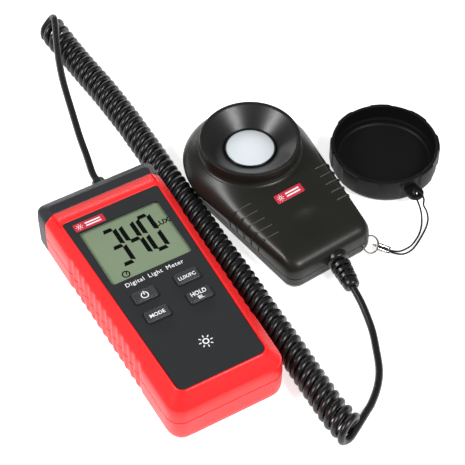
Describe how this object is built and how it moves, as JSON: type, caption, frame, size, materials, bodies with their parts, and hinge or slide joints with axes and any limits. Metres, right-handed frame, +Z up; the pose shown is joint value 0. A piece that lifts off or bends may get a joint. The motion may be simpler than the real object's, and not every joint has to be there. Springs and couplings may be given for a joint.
{
  "type": "light meter",
  "caption": "Handheld light meter with a display and keys, joined by a curly cord to a separate domed sensor head with a tethered push-on cap.",
  "frame": {"origin": "centre of the handset's back face, on the surface the meter lies on", "axes": "+X from the handset towards the sensor head, +Y along the handset towards its cord end, +Z up out of the display"},
  "size_m": [0.193, 0.2872, 0.0305],
  "materials": {
    "red_plastic": "satin",
    "grey_plastic": "matte",
    "panel_film": "matte",
    "badge_red": "gloss",
    "clear_window": "clear",
    "display_green": "satin",
    "white_plastic": "matte",
    "contact_rubber": "matte",
    "circuit_board": "satin",
    "black_epoxy": "matte",
    "wire_red": "satin",
    "key_rubber": "matte",
    "screw_steel": "satin",
    "cell_jacket": "satin",
    "nickel": "bright",
    "cord_black": "satin",
    "head_plastic": "satin",
    "hood_black": "satin",
    "milk_white": "matte",
    "filter_glass": "clear",
    "cap_rubber": "matte"
  },
  "bodies": {
    "handset": {"front_shell": "red_plastic", "back_shell": "red_plastic", "end_cap": "grey_plastic", "front_panel": "panel_film", "panel_badge": "badge_red", "lcd_window": "clear_window", "lcd_cell": "display_green", "lcd_backlight": "white_plastic", "lcd_frame": "white_plastic", "zebra_strips": "contact_rubber", "main_board": "circuit_board", "board_chips": "black_epoxy", "key_switches": "black_epoxy", "sensor_socket": "white_plastic", "sensor_leads": "wire_red", "case_screws": "screw_steel", "board_screws": "screw_steel", "end_cap_screws": "screw_steel", "battery_cells": "cell_jacket", "battery_springs": "nickel", "battery_contacts": "nickel", "cord_gland": "cord_black", "cord_tail_handset": "cord_black", "cord_coil": "cord_black", "cord_tail_head": "cord_black"},
    "power_key": {"key_power": "key_rubber"},
    "mode_key": {"key_mode": "key_rubber"},
    "units_key": {"key_units": "key_rubber"},
    "hold_key": {"key_hold": "key_rubber"},
    "door": {"battery_door": "red_plastic"},
    "sensor_head": {"strain_relief": "cord_black", "head_top_shell": "head_plastic", "head_bottom_shell": "head_plastic", "sensor_hood": "hood_black", "diffuser_dome": "milk_white", "dome_ring": "hood_black", "filter_holder": "hood_black", "colour_filter": "filter_glass", "photodiode": "black_epoxy", "sensor_board": "circuit_board", "sensor_board_screws": "screw_steel", "head_screws": "screw_steel", "head_badge": "badge_red", "split_ring": "nickel", "lanyard_crimp": "nickel", "lanyard": "cord_black"},
    "sensor_cap": {"cap": "cap_rubber"}
  },
  "joints": [
    {"name": "power_key_press", "type": "slide", "parent": "handset", "child": "power_key", "axis": [0, 0, -1], "range_m": [0, 0.0006], "stiffness_N_per_m": 1500},
    {"name": "mode_key_press", "type": "slide", "parent": "handset", "child": "mode_key", "axis": [0, 0, -1], "range_m": [0, 0.0006], "stiffness_N_per_m": 1500},
    {"name": "units_key_press", "type": "slide", "parent": "handset", "child": "units_key", "axis": [0, 0, -1], "range_m": [0, 0.0006], "stiffness_N_per_m": 1500},
    {"name": "hold_key_press", "type": "slide", "parent": "handset", "child": "hold_key", "axis": [0, 0, -1], "range_m": [0, 0.0006], "stiffness_N_per_m": 1500},
    {"name": "door_slide", "type": "slide", "parent": "handset", "child": "door", "axis": [0, -1, 0], "range_m": [0, 0.045]},
    {"name": "head_lift", "type": "slide", "parent": "handset", "child": "sensor_head", "axis": [0, 0, 1], "range_m": [0, 0.06]},
    {"name": "cap_lift", "type": "slide", "parent": "sensor_head", "child": "sensor_cap", "axis": [0, 0, 1], "range_m": [0, 0.03]}
  ]
}
